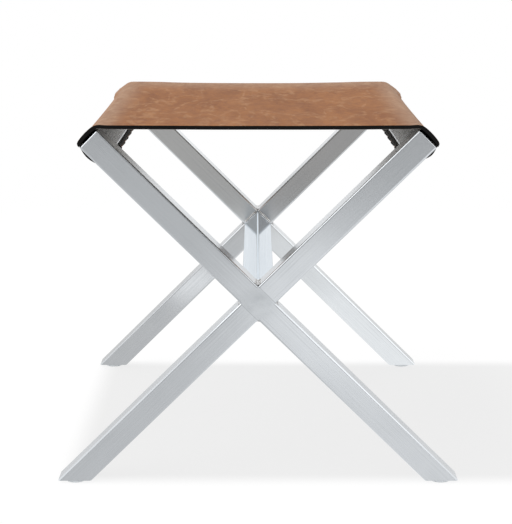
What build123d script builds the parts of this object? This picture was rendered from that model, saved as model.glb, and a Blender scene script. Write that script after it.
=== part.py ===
from build123d import *
from math import cos, radians, sin
import os

# Stool with a leather sling seat on two crossed frames of square stainless tube.
# Millimetres, +Z up, +X to the right of someone facing the front, +Y towards the back.
# The origin is on the floor, under the middle of the seat.

# Overall sizes
foot_span = 500.0  # left to right over the blunted tips of the feet
stool_depth = 500.0  # front face of the front frame to back face of the rear frame
seat_height = 450.0  # floor to the top of the leather
leg_angle = 45.0  # slope of the legs above the floor, in degrees

# Square tube of the legs, rails and stretcher
tube = 30.0
tube_wall = 2.0
tube_corner = 2.5
least_bore_corner = 0.3  # the corners inside the tube are at least this round
end_bevel = 0.8  # broken edge round the top end of each leg
tip_blunt = 1.0  # taken off the knife edge at the outer tip of each foot
stretcher_turn = 45.0  # the stretcher stands on its edge, in degrees

# Plates and welds
cap_thickness = 2.0  # plate let into the top end of each leg
foot_plate_thickness = 3.0  # plate let into the bottom of each leg
weld_leg = 3.0  # fillet welds, along each of the two faces that they join
crossing_weld_leg = 5.0  # hollow welds in the corners where the legs cross

# Levelling glides, screwed up into the feet
pad_diameter = 26.0
pad_thickness = 3.5
pad_edge_round = 1.0
stud_diameter = 6.0
pad_under_stud = 1.5  # plastic left under the foot of the stud
stud_above_nut = 2.5
thread_fit = 0.05  # radial room between the stud and its nut
nut_across_flats = 10.0
nut_height = 5.0

# Leather sling
leather = 4.8
seat_bend_radius = 12.0  # inside of the bend from the flat seat down over the rail
leather_fit = 0.3  # least room between the leather and the tube
seat_edge_inset = 1.0  # front and back edges of the leather, behind the faces of the frames
flap_weld_room = 1.0  # between the ends of the wrapped flap and the welds at the legs
leg_end_lap = 1.0  # the leather stops this far short of the lower corner of a leg's end
leg_end_flat = 1.3  # what its rounded edge leaves square there

# Screws that hold the flaps to the undersides of the rails
screws_per_rail = 10
screw_diameter = 4.0
screw_head_diameter = 9.0
screw_head_height = 2.4
screw_head_rim = 0.8  # straight rim under the rounded top of the head
screw_beyond_wall = 4.0
screw_socket_across_flats = 2.5
screw_socket_depth = 1.3
screw_fit = 0.05  # radial room of the shank in the wall of the rail
screw_leather_room = 0.4  # radial room of the shank in the leather
screw_margin = 20.0  # corner of the flap to the first screw, along the rail
screw_edge = 7.5  # cut end of the flap to the middle of the screws

# Derived places and sizes
cos_leg = cos(radians(leg_angle))
sin_leg = sin(radians(leg_angle))
half = tube / 2
bore = tube - 2 * tube_wall
bore_corner = max(tube_corner - tube_wall, least_bore_corner)
weld_length = tube - 2 * tube_corner  # flat part of a tube's side
frame_y = stool_depth / 2 - half  # middle of the rear frame
inner_y = frame_y - half  # faces of the frames that look at each other
foot_z = pad_thickness
sharp_tip_x = foot_span / 2 + tip_blunt
crossing_height = foot_z - half * cos_leg + (sharp_tip_x - half * sin_leg) * sin_leg / cos_leg

# The leather clears the upper corner of a leg's square end by leather_fit, in the middle of its
# bend, so the flat seat and the slope lie seat_lift off that corner's two faces.
half_bend_cos = cos(radians((90 - leg_angle) / 2))
seat_lift = leather_fit * half_bend_cos + seat_bend_radius * (1 - half_bend_cos)
leg_top_corner = seat_height - leather - seat_lift
leg_above = (leg_top_corner - crossing_height - half * cos_leg) / sin_leg
leg_below = crossing_height / sin_leg + tube
rail_reach = leg_above - half  # crossing to the middle of a rail, along the leg

heel_x = (crossing_height - half * cos_leg - foot_z) * cos_leg / sin_leg - half * sin_leg
glide_x = (foot_span / 2 + heel_x) / 2
stud_sunk = pad_thickness - pad_under_stud
stud_top = foot_z + foot_plate_thickness + nut_height + stud_above_nut
nut_bore = stud_diameter + 2 * thread_fit

flap_half_length = inner_y - weld_leg - flap_weld_room
seat_half_length = stool_depth / 2 - seat_edge_inset
flap_offset = half + leather_fit  # inside of the flap from the middle of the rail
screw_hole_in_leather = screw_diameter + 2 * screw_leather_room
screw_pitch = 2 * (flap_half_length - screw_margin) / (screws_per_rail - 1)

LEFT, RIGHT = -1, 1
FRONT, REAR = -1, 1
STANDING = (Align.CENTER, Align.CENTER, Align.MIN)


def up_leg(top_side):
    """Direction up a leg whose top is on that side."""
    return Vector(top_side * cos_leg, 0, sin_leg)


def upper_side(top_side):
    """Outward direction of the upper side of that leg, which is also the inner face of the rail."""
    return Vector(-top_side * sin_leg, 0, cos_leg)


def leg_bar(top_side, y, outline):
    """A bar of that outline along the leg, from below the floor to the square-cut top end."""
    axis = up_leg(top_side)
    start = Vector(0, y, crossing_height) - axis * leg_below
    plane = Plane(origin=start, x_dir=upper_side(top_side), z_dir=axis)
    return extrude(plane * outline, leg_below + leg_above, dir=axis)


def cut_at_floor(leg):
    """The leg above its level foot, with the knife edge at its tip taken off."""
    room = Box(foot_span, 2 * stool_depth, 2 * seat_height, align=STANDING)
    return leg & Pos(0, 0, foot_z) * room


square_bar = Rectangle(tube, tube)
round_bar = RectangleRounded(tube, tube, tube_corner)
bore_bar = RectangleRounded(bore, bore, bore_corner)
tube_outline = round_bar - bore_bar


def leg_tube(top_side, y):
    """Tube of a leg, with the outer edge of its top end broken."""
    body = leg_bar(top_side, y, tube_outline)
    top_end = body.faces().sort_by(Axis((0, y, 0), up_leg(top_side)))[-1]
    return chamfer(top_end.outer_wire().edges(), end_bevel)


def crossed_frame(y, long_top):
    """One X: a long leg, and an upper and a lower half leg welded to its sides.

    The corners of the long leg are filled and ground flat where the halves meet it.
    """
    long_sharp = leg_bar(long_top, y, square_bar)
    filled = long_sharp & leg_bar(-long_top, y, square_bar)
    long_leg = leg_tube(long_top, y) + (filled - leg_bar(long_top, y, bore_bar))
    lower, upper = (leg_tube(-long_top, y) - long_sharp).solids().sort_by(Axis.Z)
    return cut_at_floor(long_leg), upper, cut_at_floor(lower)


def rail_point(side, y, out, up):
    """A point by its place from the middle of a rail: out along the leg's end, up to its inner face."""
    middle = Vector(0, y, crossing_height) + up_leg(side) * rail_reach
    return middle + up_leg(side) * out + upper_side(side) * up


def screw_places():
    """Places of the screws along a rail."""
    first = screw_margin - flap_half_length
    return [first + number * screw_pitch for number in range(screws_per_rail)]


def screw_plane(side, y):
    """Plane under the head of a screw, its z axis into the rail."""
    seat = rail_point(side, y, -(flap_offset + leather), half - screw_edge)
    return Plane(origin=seat, x_dir=(0, 1, 0), z_dir=up_leg(side))


def screw_rod(side, y, diameter):
    """A rod from under the head of a screw to inside the rail."""
    length = leather + leather_fit + tube_wall + screw_beyond_wall
    return extrude(screw_plane(side, y) * Circle(diameter / 2), length, dir=up_leg(side))


def rail(side):
    """Tube between the frames that carries one side of the seat."""
    axis = Vector(0, 1, 0)
    plane = Plane(origin=rail_point(side, -inner_y, 0, 0), x_dir=upper_side(side), z_dir=axis)
    body = extrude(plane * tube_outline, 2 * inner_y, dir=axis)
    for y in screw_places():
        body -= screw_rod(side, y, screw_diameter + 2 * screw_fit)
    return body


def rail_screws(side):
    """The row of low-headed socket screws under one rail."""
    made = []
    for y in screw_places():
        plane = screw_plane(side, y)
        head = extrude(plane * Circle(screw_head_diameter / 2), screw_head_height, dir=-up_leg(side))
        rim = head.edges().filter_by(GeomType.CIRCLE).sort_by_distance(plane.origin)[-1]
        head = fillet(rim, screw_head_height - screw_head_rim)
        top = plane.offset(-screw_head_height)
        socket = RegularPolygon(screw_socket_across_flats / 2, 6, major_radius=False)
        head -= extrude(top * socket, screw_socket_depth, dir=up_leg(side))
        made.append((head + screw_rod(side, y, screw_diameter)).solid())
    return Compound(made)


def stretcher():
    """Tube on edge between the crossings of the two frames."""
    axis = Vector(0, 1, 0)
    turn = radians(stretcher_turn)
    plane = Plane(origin=(0, -inner_y, crossing_height), x_dir=(cos(turn), 0, sin(turn)), z_dir=axis)
    return extrude(plane * tube_outline, 2 * inner_y, dir=axis)


def crossing_welds():
    """Hollow beads, ground round, in the four corners of both crossings."""
    made = []
    arms = [up_leg(RIGHT), up_leg(LEFT), -up_leg(RIGHT), -up_leg(LEFT)]
    for end in (FRONT, REAR):
        for arm, other in zip(arms, arms[1:] + arms[:1]):
            to_corner = (arm + other) * (half / arm.cross(other).length)
            root = Vector(0, end * frame_y, crossing_height) + to_corner
            start = root + arm * crossing_weld_leg
            stop = root + other * crossing_weld_leg
            sides = [Line(root, start), TangentArc(start, stop, tangent=-arm), Line(stop, root)]
            bead = make_face([side.edge() for side in sides])
            made.append(extrude(bead, weld_length / 2, dir=(0, 1, 0), both=True).solid())
    return Compound(made)


def fillet_weld(root, normal, along_y):
    """A bead in the corner between a tube's face, with that normal, and a frame's inner face."""
    plane = Plane(origin=root, x_dir=normal, z_dir=normal.cross(Vector(0, along_y, 0)))
    bead = plane * make_face(Polyline((0, 0), (weld_leg, 0), (0, weld_leg), close=True))
    return extrude(bead, weld_length / 2, dir=plane.z_dir, both=True).solid()


def stretcher_welds():
    """Beads on the four faces of the stretcher at both its ends."""
    made = []
    for end in (FRONT, REAR):
        for face in range(4):
            turn = radians(stretcher_turn + 90 * face)
            normal = Vector(cos(turn), 0, sin(turn))
            root = Vector(0, end * inner_y, crossing_height) + normal * half
            made.append(fillet_weld(root, normal, -end))
    return Compound(made)


def rail_welds():
    """Beads at both ends of the rails, in the corner between the rail and the leg below it."""
    made = []
    for side in (LEFT, RIGHT):
        for end in (FRONT, REAR):
            root = rail_point(side, end * inner_y, -half, 0)
            made.append(fillet_weld(root, -up_leg(side), -end))
    return Compound(made)


def leg_cap(side, y):
    """Plate let into the square-cut top end of a leg, under the leather."""
    axis = up_leg(side)
    start = Vector(0, y, crossing_height) + axis * (leg_above - cap_thickness)
    plane = Plane(origin=start, x_dir=upper_side(side), z_dir=axis)
    return extrude(plane * bore_bar, cap_thickness, dir=axis)


def foot_plate(side, y):
    """Plate let into the level bottom of a leg, with a hole for the glide's stud."""
    slab = Box(2 * foot_span, 2 * stool_depth, foot_plate_thickness, align=STANDING)
    plate = leg_bar(-side, y, bore_bar) & Pos(0, 0, foot_z) * slab
    hole = Cylinder(nut_bore / 2, foot_plate_thickness, align=STANDING)
    return plate - Pos(side * glide_x, y, foot_z) * hole


def foot_nut(side, y):
    """Hexagon nut welded on the foot plate, inside the leg."""
    outline = RegularPolygon(nut_across_flats / 2, 6, major_radius=False, rotation=30) - Circle(nut_bore / 2)
    place = Pos(side * glide_x, y, foot_z + foot_plate_thickness)
    return extrude(place * outline, nut_height)


def glide_stud(side, y):
    """Threaded stud of a glide, shown at its full diameter."""
    bottom = foot_z - stud_sunk
    rod = Cylinder(stud_diameter / 2, stud_top - bottom, align=STANDING)
    return Pos(side * glide_x, y, bottom) * rod


def glide_pad(side, y):
    """Clear plastic disc that stands on the floor, moulded round the foot of its stud."""
    disc = Cylinder(pad_diameter / 2, pad_thickness, align=STANDING)
    disc = fillet(disc.edges().sort_by(Axis.Z)[0], pad_edge_round)
    socket = Cylinder(stud_diameter / 2, stud_sunk, align=(Align.CENTER, Align.CENTER, Align.MAX))
    disc -= Pos(0, 0, pad_thickness) * socket
    return Pos(side * glide_x, y, 0) * disc


def seat_point(side, out, up):
    """A point of the leather's section, as (x, z), from the middle of a rail."""
    point = rail_point(side, 0, out, up)
    return point.X, point.Z


def bend_point(side, out, z):
    """Where the slope over a rail, that far out from its middle, meets the level z."""
    middle_z = crossing_height + rail_reach * sin_leg
    return seat_point(side, out, (z - middle_z - out * sin_leg) / cos_leg)


def both_sides(left_points):
    """The left points, then their mirror images on the right in turn."""
    return left_points + [(-x, z) for x, z in reversed(left_points)]


def section_face(inner, inner_radii, outer, outer_radii):
    """Face between an inner and an outer line, with round corners, in the XZ plane."""
    inside = FilletPolyline(*inner, radius=inner_radii)
    outside = FilletPolyline(*outer, radius=outer_radii)
    ends = [Line(inside @ 0, outside @ 0), Line(inside @ 1, outside @ 1)]
    return make_face([*inside.edges(), *outside.edges(), *[end.edge() for end in ends]])


def seat_leather():
    """Sling over both rails: flaps wrapped under the rails, and the flat out to the leg ends."""
    slope_in = half + seat_lift
    slope_out = slope_in + leather
    flat_in = seat_height - leather
    flap_out = flap_offset + leather
    corner_in = tube_corner + leather_fit

    inner = [
        seat_point(LEFT, -flap_offset, half),
        seat_point(LEFT, -flap_offset, -flap_offset),
        seat_point(LEFT, slope_in, -flap_offset),
        bend_point(LEFT, slope_in, flat_in),
    ]
    outer = [
        seat_point(LEFT, -flap_out, half),
        seat_point(LEFT, -flap_out, -flap_out),
        seat_point(LEFT, slope_out, -flap_out),
        bend_point(LEFT, slope_out, seat_height),
    ]
    radii = [corner_in, corner_in, seat_bend_radius]
    inner_radii = radii + radii[::-1]
    wrapped = section_face(
        both_sides(inner), inner_radii, both_sides(outer), [radius + leather for radius in inner_radii]
    )

    lap = leg_end_lap - half
    short_inner = [seat_point(LEFT, slope_in, lap), inner[-1]]
    short_outer = [seat_point(LEFT, slope_in, lap), seat_point(LEFT, slope_out, lap), outer[-1]]
    bends = [seat_bend_radius + leather] * 2
    leg_end_round = leather - leg_end_flat
    inside = FilletPolyline(*both_sides(short_inner), radius=[seat_bend_radius] * 2)
    outside = FilletPolyline(*both_sides(short_outer), radius=[leg_end_round, *bends, leg_end_round])
    flat = make_face([*inside.edges(), *outside.edges()])

    section = Plane(origin=(0, 0, 0), x_dir=(1, 0, 0), z_dir=(0, -1, 0))
    sling = extrude(section * wrapped, flap_half_length, both=True)
    sling += extrude(section * flat, seat_half_length, both=True)
    for side in (LEFT, RIGHT):
        for y in screw_places():
            sling -= screw_rod(side, y, screw_hole_in_leather)
    return sling


pieces = {}
for frame_name, end, long_top in (("front", FRONT, LEFT), ("rear", REAR, RIGHT)):
    frame_middle = end * frame_y
    names = [f"{frame_name}_leg_{part}" for part in ("long", "upper", "lower")]
    pieces.update(zip(names, crossed_frame(frame_middle, long_top)))
    for side_name, side in (("left", LEFT), ("right", RIGHT)):
        corner = f"{frame_name}_{side_name}"
        pieces[f"{corner}_leg_cap"] = leg_cap(side, frame_middle)
        pieces[f"{corner}_foot_plate"] = foot_plate(side, frame_middle)
        pieces[f"{corner}_foot_nut"] = foot_nut(side, frame_middle)
        pieces[f"{corner}_glide_stud"] = glide_stud(side, frame_middle)
        pieces[f"{corner}_glide_pad"] = glide_pad(side, frame_middle)

pieces["left_rail"] = rail(LEFT)
pieces["right_rail"] = rail(RIGHT)
pieces["stretcher"] = stretcher()
pieces["crossing_welds"] = crossing_welds()
pieces["stretcher_welds"] = stretcher_welds()
pieces["rail_welds"] = rail_welds()
pieces["seat_leather"] = seat_leather()
pieces["left_rail_screws"] = rail_screws(LEFT)
pieces["right_rail_screws"] = rail_screws(RIGHT)

os.makedirs("parts", exist_ok=True)
for name, piece in pieces.items():
    export_step(piece, f"parts/{name}.step")
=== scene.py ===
"""Looks of a sling stool: a leather seat over two crossed frames of stainless tube."""
import logging
import math
from collections.abc import Callable
from dataclasses import dataclass, replace
from enum import Enum, IntEnum
from functools import partial
from typing import Any

import bmesh
import bpy
from mathutils import Euler, Matrix, Vector, noise


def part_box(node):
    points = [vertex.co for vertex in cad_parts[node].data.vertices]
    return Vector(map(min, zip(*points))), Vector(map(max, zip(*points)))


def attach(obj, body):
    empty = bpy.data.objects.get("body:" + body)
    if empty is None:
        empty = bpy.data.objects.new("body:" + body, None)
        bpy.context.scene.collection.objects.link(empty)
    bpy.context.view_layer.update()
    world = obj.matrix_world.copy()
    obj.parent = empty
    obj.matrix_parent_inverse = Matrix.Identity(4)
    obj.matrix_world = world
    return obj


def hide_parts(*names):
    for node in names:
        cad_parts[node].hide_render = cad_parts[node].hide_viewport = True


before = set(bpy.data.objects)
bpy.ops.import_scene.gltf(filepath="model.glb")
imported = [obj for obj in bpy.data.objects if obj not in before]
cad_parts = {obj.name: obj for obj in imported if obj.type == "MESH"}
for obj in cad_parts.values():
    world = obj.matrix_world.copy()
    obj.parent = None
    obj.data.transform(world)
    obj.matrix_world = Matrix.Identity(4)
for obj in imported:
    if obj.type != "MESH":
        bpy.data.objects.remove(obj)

# Short names for types: an Adder adds a node to one tree, and a Key is a point's part, row and column
Piece = bpy.types.Object
Material = bpy.types.Material
Tree = bpy.types.NodeTree
Socket = bpy.types.NodeSocket
Inputs = dict[str | int, Any]
Adder = Callable[..., Socket]
Key = tuple["Part", int, int]

log = logging.getLogger("stool")

MM = 0.001
SOLID_BODY = "frame"
CORNERS = ("front_left", "front_right", "rear_left", "rear_right")
# Points nearer than this become one, and places nearer than this count as the same
MERGE = 0.01 * MM
SAME = 0.1 * MM
# Half the width of the square tube
TUBE_HALF = 15 * MM
# A face is level where its normal's Z passes this
LEVEL = 0.99

# Sockets of a colour Mix node, whose names repeat
MIX_FACTOR, MIX_A, MIX_B, MIX_OUT = 0, 6, 7, 2


class Grain(Enum):
    """Which way a tube was brushed, as the turn from the X axis to the tube's own."""

    DOWN_RIGHT = (0.0, math.radians(45), 0.0)
    DOWN_LEFT = (0.0, math.radians(-45), 0.0)
    FRONT_TO_BACK = (0.0, 0.0, math.radians(90))

    def direction(self) -> Vector:
        """The tube's own direction."""
        return Euler(self.value).to_matrix() @ Vector((1, 0, 0))


class Side(Enum):
    """The two sides of the stool, as signs along X."""

    LEFT = -1
    RIGHT = 1


class Kind(Enum):
    """What is picked in edit mode, with its name in a mesh."""

    EDGE = "edges"
    FACE = "faces"


class Part(Enum):
    """Parts of the sling's mesh: the sheet with its flaps, and the tabs past the flaps' ends."""

    SHEET = 0
    LEFT_TAB = 1
    RIGHT_TAB = 2


class LeatherSide(IntEnum):
    """Sides of the leather, in the order of the sling's material slots."""

    GRAIN = 0
    BACK = 1
    EDGE = 2
    TOP_EDGE = 3


def ramp(value: float, start: float, stop: float) -> float:
    """Says how far a value has gone from start to stop, from 0 to 1."""
    return min(1.0, max(0.0, (value - start) / (stop - start)))


def linear(hex_colour: str) -> tuple[float, float, float, float]:
    """Turns an sRGB colour to the linear one that shaders take.

    Args:
        hex_colour: The colour as #RRGGBB.

    Returns:
        Linear red, green and blue, and an alpha of 1.
    """
    made = []
    for start in (1, 3, 5):
        level = int(hex_colour[start : start + 2], 16) / 255
        made.append(level / 12.92 if level <= 0.04045 else ((level + 0.055) / 1.055) ** 2.4)
    return made[0], made[1], made[2], 1.0


def fill(node: bpy.types.Node, inputs: Inputs) -> None:
    """Fills a node's inputs.

    Args:
        node: The node.
        inputs: A value for each input, or the output of another node, which is linked to it.
    """
    for key, value in inputs.items():
        if isinstance(value, Socket):
            node.id_data.links.new(value, node.inputs[key])
        else:
            node.inputs[key].default_value = value


def add_node(
    tree: Tree, kind: str, inputs: Inputs | None = None, out: str | int = 0, **settings: Any
) -> Socket:
    """Adds a node to a tree.

    Args:
        tree: The tree that gets the node.
        kind: Blender's name for the node, without its ShaderNode prefix.
        inputs: What its inputs hold or are linked to.
        out: Which of its outputs is wanted.
        settings: The node's own settings.

    Returns:
        The wanted output.
    """
    node = tree.nodes.new("ShaderNode" + kind)
    for name, value in settings.items():
        setattr(node, name, value)
    fill(node, inputs or {})
    return node.outputs[out]


def new_material(name: str) -> tuple[Material, bpy.types.Node, Adder]:
    """Starts a material.

    Args:
        name: The finish's plain name.

    Returns:
        The material, its Principled shader, and add_node for its tree.
    """
    material = bpy.data.materials.new(name)
    material.use_nodes = True
    tree = material.node_tree
    return material, tree.nodes["Principled BSDF"], partial(add_node, tree)


def dress(piece: Piece, *materials: Material) -> None:
    """Gives a piece its materials.

    Args:
        piece: The piece.
        materials: Its materials, in the order of its slots.
    """
    for number, material in enumerate(materials):
        if number < len(piece.data.materials):
            piece.data.materials[number] = material
        else:
            piece.data.materials.append(material)


def clear_selection() -> None:
    """Leaves no object selected, so that operators reach only what comes next."""
    bpy.ops.object.select_all(action="DESELECT")


def work_on(piece: Piece) -> None:
    """Makes one piece the only selected and active object.

    Args:
        piece: The piece.
    """
    clear_selection()
    piece.select_set(True)
    bpy.context.view_layer.objects.active = piece


def pick(piece: Piece, kind: Kind, wanted: Callable[[Any], bool]) -> None:
    """Selects the edges or faces of a piece in edit mode that pass a test, and no others.

    Args:
        piece: The piece, in edit mode.
        kind: Whether edges or faces are picked.
        wanted: Says of each one whether it is selected.
    """
    shape = bmesh.from_edit_mesh(piece.data)
    bpy.context.tool_settings.mesh_select_mode = (False, kind is Kind.EDGE, kind is Kind.FACE)
    shape.select_mode = {kind.name}
    for part in getattr(shape, kind.value):
        part.select_set(wanted(part))
    shape.select_flush_mode()
    bmesh.update_edit_mesh(piece.data)


def extrude_up(height: float) -> None:
    """Extrudes what is selected along Z, or down where the height is below zero."""
    bpy.ops.mesh.extrude_region_move(TRANSFORM_OT_translate={"value": (0, 0, height)})


def smooth_over(piece: Piece, degrees: float) -> None:
    """Shades a piece smooth, apart from edges sharper than an angle."""
    work_on(piece)
    bpy.ops.object.shade_smooth_by_angle(angle=math.radians(degrees))


def close_mesh(piece: Piece, merge: float = MERGE) -> None:
    """Merges a piece's doubles and points its faces outwards.

    Args:
        piece: The piece, in object mode.
        merge: Points nearer than this become one.
    """
    work_on(piece)
    bpy.ops.object.mode_set(mode="EDIT")
    bpy.ops.mesh.select_all(action="SELECT")
    bpy.ops.mesh.remove_doubles(threshold=merge)
    bpy.ops.mesh.normals_make_consistent(inside=False)
    bpy.ops.object.mode_set(mode="OBJECT")


def apply_modifiers(piece: Piece) -> None:
    """Applies a piece's modifiers in order.

    Args:
        piece: The piece, in object mode.
    """
    work_on(piece)
    for modifier in list(piece.modifiers):
        bpy.ops.object.modifier_apply(modifier=modifier.name)


def new_object(name: str, data: bpy.types.ID) -> Piece:
    """Puts an object into the scene.

    Args:
        name: The object's name.
        data: Its mesh, lamp or camera.

    Returns:
        The object.
    """
    made = bpy.data.objects.new(name, data)
    bpy.context.scene.collection.objects.link(made)
    return made


def copy_to(model: Piece, name: str, place: Matrix) -> Piece:
    """Copies a modelled piece to another place.

    Args:
        model: The piece to copy.
        name: The copy's name.
        place: Where the model's own axes go.

    Returns:
        The copy, with a mesh of its own that holds its place.
    """
    mesh = model.data.copy()
    mesh.transform(place)
    mesh.name = name
    return new_object(name, mesh)


@dataclass(frozen=True)
class BrushedStainless:
    """Stainless steel tube, satin brushed along its length.

    The eye sees fine streaks along the tube, light drawn out across them, and soft clouds where the
    belt pressed harder. Round the crossing of the legs the welds were ground flat by hand, across
    the streaks.
    """

    name: str
    grain: Grain
    middle: Vector
    ground: float = 0.0
    butted: bool = False
    pale: str = "#E3E7EB"
    dull: str = "#C0C5C9"
    roughness: tuple[float, float] = (0.17, 0.26)
    streak_length: float = 140 * MM
    # The real streaks are about 0.1 mm wide, which is too fine to show
    streak_width: float = 0.7 * MM
    streak_depth: float = 0.05 * MM
    cloud: float = 60 * MM
    ground_turn: float = math.radians(70)
    smudge: float = 18 * MM
    seam_from_middle: float = TUBE_HALF
    seam_width: float = 1.2 * MM

    def streaks(self, add: Adder, place: Socket, turn: float) -> Socket:
        """Adds one set of brushed streaks.

        Args:
            add: Adds a node to the material.
            place: Object coordinates.
            turn: How far the streaks are turned from the grain, about the Y axis.

        Returns:
            The streaks' level, from 0 to 1.
        """
        x, y, z = self.grain.value
        inputs = {
            "Vector": place,
            "Location": self.middle,
            "Rotation": (x, y + turn, z),
            "Scale": (self.streak_length, self.streak_width, self.streak_width),
        }
        along = add("Mapping", inputs, vector_type="TEXTURE")
        return add("TexNoise", {"Vector": along, "Scale": 1.0, "Detail": 3.0, "Roughness": 0.6})

    def make(self) -> Material:
        """Builds the material.

        Returns:
            The material.
        """
        material, shader, add = new_material(f"brushed_stainless_{self.name}")
        place = add("TexCoord", out="Object")
        # Streaks, which show most where the belt pressed harder
        level = self.streaks(add, place, 0.0)
        inputs = {"Vector": place, "Scale": 1 / self.cloud, "Detail": 2.0, "Distortion": 0.4}
        clouds = add("TexNoise", inputs)
        shade = add("MapRange", {"Value": level, "From Min": 0.3, "From Max": 0.7, "To Max": 0.8})
        shade = add("Math", {0: clouds, 1: shade, 2: -0.1}, operation="MULTIPLY_ADD", use_clamp=True)
        if self.ground:
            shade = self.ground_over(add, place, shade)
        if self.butted:
            shade = self.seam_over(add, place, shade)
        inputs = {MIX_FACTOR: shade, MIX_A: linear(self.pale), MIX_B: linear(self.dull)}
        colour = add("Mix", inputs, MIX_OUT, data_type="RGBA")
        inputs = {"Value": shade, "To Min": self.roughness[0], "To Max": self.roughness[1]}
        rough = add("MapRange", inputs)
        relief = add("Bump", {"Height": level, "Strength": 0.03, "Distance": self.streak_depth})
        tangent = add("CombineXYZ", dict(enumerate(self.grain.direction())))
        fill(shader, {"Metallic": 1.0, "Anisotropic": 0.55, "Anisotropic Rotation": 0.25})
        fill(shader, {"Base Color": colour, "Roughness": rough, "Normal": relief, "Tangent": tangent})
        return material

    def ground_over(self, add: Adder, place: Socket, shade: Socket) -> Socket:
        """Dulls the steel where the hand grinder went over the crossing.

        Args:
            add: Adds a node to the material.
            place: Object coordinates.
            shade: How dull the steel is.

        Returns:
            The shade with the grinder's marks and smudges.
        """
        marks = self.streaks(add, place, self.ground_turn)
        # The marks go through the tube, however deep it is
        inputs = {
            "Vector": place,
            "Location": (self.middle.x, 0, self.middle.z),
            "Scale": (self.ground, 1e3, self.ground),
        }
        from_middle = add("Mapping", inputs, vector_type="TEXTURE")
        smudges = add("TexNoise", {"Vector": place, "Scale": 1 / self.smudge, "Detail": 2.0})
        distance = add("VectorMath", {0: from_middle}, "Value", operation="LENGTH")
        distance = add("Math", {0: distance, 1: smudges}, operation="ADD")
        inputs = {"Value": distance, "From Min": 0.7, "From Max": 1.8, "To Min": 0.85, "To Max": 0.0}
        share = add("MapRange", inputs, interpolation_type="SMOOTHSTEP")
        smudges = add("MapRange", {"Value": smudges, "From Min": 0.3, "From Max": 0.7, "To Max": 0.7})
        dulled = add("Math", {0: marks, 1: 0.3, 2: smudges}, operation="MULTIPLY_ADD")
        return add("Mix", {0: share, 2: shade, 3: dulled})

    def seam_over(self, add: Adder, place: Socket, shade: Socket) -> Socket:
        """Darkens the line where a half leg is welded to the side of the long one.

        Args:
            add: Adds a node to the material.
            place: Object coordinates.
            shade: How dull the steel is.

        Returns:
            The shade with the seam.
        """
        inputs = {"Vector": place, "Location": self.middle, "Rotation": self.grain.value}
        own = add("Mapping", inputs, vector_type="TEXTURE")
        along = add("SeparateXYZ", {0: own}, "X")
        along = add("Math", {0: along}, operation="ABSOLUTE")
        edge = self.seam_from_middle
        seam = add("MapRange", {"Value": along, "From Min": edge + self.seam_width, "From Max": edge})
        return add("Math", {0: shade, 1: seam}, operation="MAXIMUM")


@dataclass(frozen=True)
class PatchySteel:
    """Steel that isn't brushed: polished tube, welds, nuts, studs and screws.

    The eye sees two greys in patches, long ones in the haze of a polished tube and round ones
    elsewhere, of which the duller are also the rougher.
    """

    name: str
    pale: str
    dull: str
    roughness: tuple[float, float]
    patch: float = 5 * MM
    drawn_out: float = 1.0
    grain: Grain | None = None
    detail: float = 3.0
    broken: float = 0.5
    contrast: tuple[float, float] = (0.0, 1.0)

    def make(self) -> Material:
        """Builds the material.

        Returns:
            The material.
        """
        material, shader, add = new_material(self.name)
        place = add("TexCoord", out="Object")
        turn = self.grain.value if self.grain else (0, 0, 0)
        size = (self.patch * self.drawn_out, self.patch, self.patch)
        inputs = {"Vector": place, "Rotation": turn, "Scale": size}
        along = add("Mapping", inputs, vector_type="TEXTURE")
        inputs = {"Vector": along, "Scale": 1.0, "Detail": self.detail, "Roughness": self.broken}
        patches = add("TexNoise", inputs)
        inputs = {"Value": patches, "From Min": self.contrast[0], "From Max": self.contrast[1]}
        share = add("MapRange", inputs)
        inputs = {MIX_FACTOR: share, MIX_A: linear(self.pale), MIX_B: linear(self.dull)}
        colour = add("Mix", inputs, MIX_OUT, data_type="RGBA")
        inputs = {"Value": share, "To Min": self.roughness[0], "To Max": self.roughness[1]}
        rough = add("MapRange", inputs)
        fill(shader, {"Metallic": 1.0, "Base Color": colour, "Roughness": rough})
        return material


# Cleaned stainless weld: dull rippled metal in pale and grey patches
CLEANED_WELD = PatchySteel(
    name="cleaned_weld",
    pale="#F0F2F4",
    dull="#B4B2AF",
    roughness=(0.2, 0.42),
    patch=3 * MM,
    detail=4.0,
    broken=0.65,
    contrast=(0.42, 0.68),
)


@dataclass(frozen=True)
class ClearPlastic:
    """Clear moulded plastic of the glides: a little milky and glossy, with scuffs on its rim."""

    colour: str = "#F8FCFF"
    scuff: float = 4 * MM

    def make(self) -> Material:
        """Builds the material.

        Returns:
            The material.
        """
        material, shader, add = new_material("clear_moulded_plastic")
        place = add("TexCoord", out="Object")
        inputs = {"Vector": place, "Scale": 1 / self.scuff, "Detail": 5.0, "Roughness": 0.7}
        scuffs = add("TexNoise", inputs)
        rough = add("MapRange", {"Value": scuffs, "To Min": 0.08, "To Max": 0.32})
        fill(shader, {"Base Color": linear(self.colour), "Roughness": rough})
        fill(shader, {"Transmission Weight": 0.12, "IOR": 1.49})
        return material


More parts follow.
